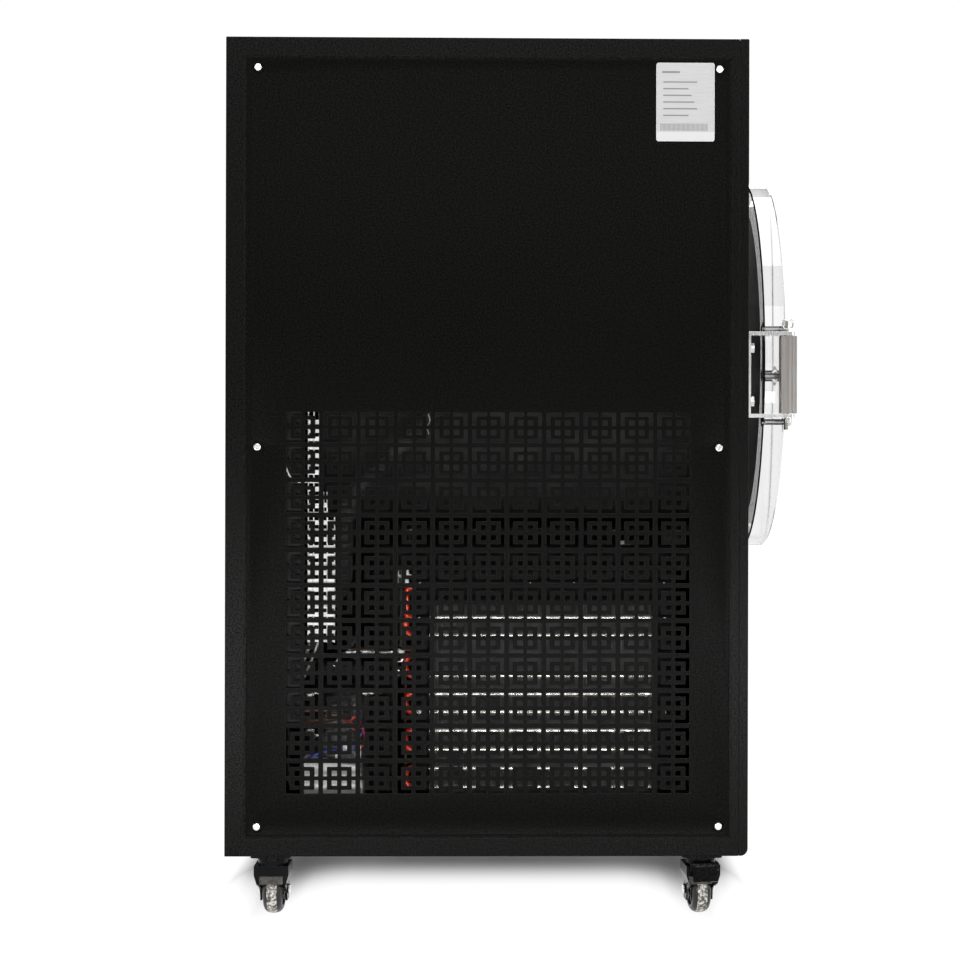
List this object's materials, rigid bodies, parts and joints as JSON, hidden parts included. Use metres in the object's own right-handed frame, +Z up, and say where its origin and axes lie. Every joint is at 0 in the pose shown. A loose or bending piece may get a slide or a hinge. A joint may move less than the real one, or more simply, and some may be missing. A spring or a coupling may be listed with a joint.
{
  "type": "freeze dryer",
  "caption": "Floor-standing laboratory freeze dryer: sheet-steel cabinet on casters, round clear door on a side hinge, lattice-vented side panels, inner shelves and trays.",
  "frame": {"origin": "on the floor under the middle of the whole machine's box", "axes": "+Z up, -Y towards the door side, -X towards the door's hinge"},
  "size_m": [0.6134, 0.8338, 1.181],
  "materials": {
    "cabinet_paint": "satin black powder coat",
    "panel_paint": "satin black powder coat",
    "zinc": "bright zinc",
    "stainless": "brushed",
    "plate_silver": "satin",
    "acrylic": "clear polished",
    "galvanised": "galvanised sheet",
    "fins": "dusty",
    "copper": "bright copper",
    "black_enamel": "gloss",
    "foam_rubber": "matt",
    "seal_rubber": "matt black silicone",
    "black_plastic": "matt",
    "white_plastic": "matt",
    "grey_plastic": "matt",
    "screen_glass": "gloss",
    "lead_plastic": "soft PVC",
    "pump_paint": "painted casting",
    "caster_black": "gloss black",
    "wheel_nylon": "moulded",
    "mount_rubber": "matt"
  },
  "bodies": {
    "cabinet": {"cabinet_frame": "cabinet_paint", "base_frame": "galvanised", "front_fascia": "cabinet_paint", "side_panel_left": "panel_paint", "side_panel_right": "panel_paint", "rear_panel": "panel_paint", "panel_screws": "zinc", "data_plate": "plate_silver", "control_screen": "screen_glass", "power_inlet": "black_plastic", "inlet_blades": "zinc", "control_box": "grey_plastic", "cable_duct": "black_plastic", "chamber_drum": "stainless", "chamber_flange": "stainless", "chamber_head": "stainless", "chamber_ports": "stainless", "chamber_insulation": "foam_rubber", "evaporator_coil": "copper", "door_gasket": "seal_rubber", "shelf_rack": "stainless", "tray_1": "stainless", "tray_2": "stainless", "tray_3": "stainless", "hinge_bracket": "stainless", "hinge_bracket_bolts": "stainless", "hinge_pin": "stainless", "latch_post": "stainless", "compressor_shell": "black_enamel", "compressor_terminal_cover": "white_plastic", "compressor_mounts": "mount_rubber", "condenser_fins": "fins", "condenser_tubes": "copper", "condenser_frame": "galvanised", "fan_shroud": "galvanised", "fan_motor": "black_enamel", "filter_drier": "copper", "liquid_line": "copper", "discharge_line": "copper", "suction_hose": "foam_rubber", "wiring_leads": "lead_plastic", "vacuum_pump": "pump_paint", "vacuum_hose": "stainless", "drain_pipe": "white_plastic", "drain_valve": "stainless", "caster_plates": "caster_black"},
    "door": {"door_disc": "acrylic", "hinge_leaf": "stainless", "door_clamp_bolts": "stainless", "door_handle": "black_plastic"},
    "latch": {"latch_lever": "stainless"},
    "drain_tap": {"drain_lever": "stainless"},
    "power_rocker": {"rocker_switch": "black_plastic"},
    "fan": {"fan_blade": "galvanised"},
    "fork_fl": {"caster_fork_fl": "caster_black"},
    "fork_fr": {"caster_fork_fr": "caster_black"},
    "fork_rl": {"caster_fork_rl": "caster_black"},
    "fork_rr": {"caster_fork_rr": "caster_black"},
    "wheel_fl": {"caster_wheel_fl": "wheel_nylon"},
    "wheel_fr": {"caster_wheel_fr": "wheel_nylon"},
    "wheel_rl": {"caster_wheel_rl": "wheel_nylon"},
    "wheel_rr": {"caster_wheel_rr": "wheel_nylon"},
    "brake_fl": {"caster_brake_fl": "caster_black"},
    "brake_fr": {"caster_brake_fr": "caster_black"}
  },
  "joints": [
    {"name": "door_hinge", "type": "hinge", "parent": "cabinet", "child": "door", "pos_m": [-0.286, -0.3774, 0.7315], "axis": [0, 0, -1], "range_deg": [0, 160]},
    {"name": "latch_turn", "type": "hinge", "parent": "cabinet", "child": "latch", "pos_m": [0.286, -0.3821, 0.8485], "axis": [0, -1, 0], "range_deg": [0, 90]},
    {"name": "drain_turn", "type": "hinge", "parent": "cabinet", "child": "drain_tap", "pos_m": [0, 0.3969, 0.478], "axis": [0, 0, 1], "range_deg": [0, 90]},
    {"name": "rocker_tilt", "type": "hinge", "parent": "cabinet", "child": "power_rocker", "pos_m": [0.19, 0.3789, 0.218], "axis": [-1, 0, 0], "range_deg": [0, 16]},
    {"name": "fan_spin", "type": "hinge", "parent": "cabinet", "child": "fan", "pos_m": [-0.21, -0.0446, 0.2775], "axis": [1, 0, 0], "continuous": true},
    {"name": "swivel_fl", "type": "hinge", "parent": "cabinet", "child": "fork_fl", "pos_m": [-0.27, -0.2621, 0.072], "axis": [0, 0, 1], "continuous": true},
    {"name": "swivel_fr", "type": "hinge", "parent": "cabinet", "child": "fork_fr", "pos_m": [0.27, -0.2621, 0.072], "axis": [0, 0, 1], "continuous": true},
    {"name": "swivel_rl", "type": "hinge", "parent": "cabinet", "child": "fork_rl", "pos_m": [-0.27, 0.3159, 0.072], "axis": [0, 0, 1], "continuous": true},
    {"name": "swivel_rr", "type": "hinge", "parent": "cabinet", "child": "fork_rr", "pos_m": [0.27, 0.3159, 0.072], "axis": [0, 0, 1], "continuous": true},
    {"name": "roll_fl", "type": "hinge", "parent": "fork_fl", "child": "wheel_fl", "pos_m": [-0.2561, -0.26039, 0.032], "axis": [-0.1219, 0.9925, 0], "continuous": true},
    {"name": "roll_fr", "type": "hinge", "parent": "fork_fr", "child": "wheel_fr", "pos_m": [0.2561, -0.26039, 0.032], "axis": [-0.1219, -0.9925, 0], "continuous": true},
    {"name": "roll_rl", "type": "hinge", "parent": "fork_rl", "child": "wheel_rl", "pos_m": [-0.256, 0.3159, 0.032], "axis": [0, 1, 0], "continuous": true},
    {"name": "roll_rr", "type": "hinge", "parent": "fork_rr", "child": "wheel_rr", "pos_m": [0.256, 0.3159, 0.032], "axis": [0, -1, 0], "continuous": true},
    {"name": "pedal_fl", "type": "hinge", "parent": "fork_fl", "child": "brake_fl", "pos_m": [-0.29531, -0.26521, 0.072], "axis": [0.1219, -0.9925, 0], "range_deg": [0, 14]},
    {"name": "pedal_fr", "type": "hinge", "parent": "fork_fr", "child": "brake_fr", "pos_m": [0.29531, -0.26521, 0.072], "axis": [0.1219, 0.9925, 0], "range_deg": [0, 14]}
  ]
}
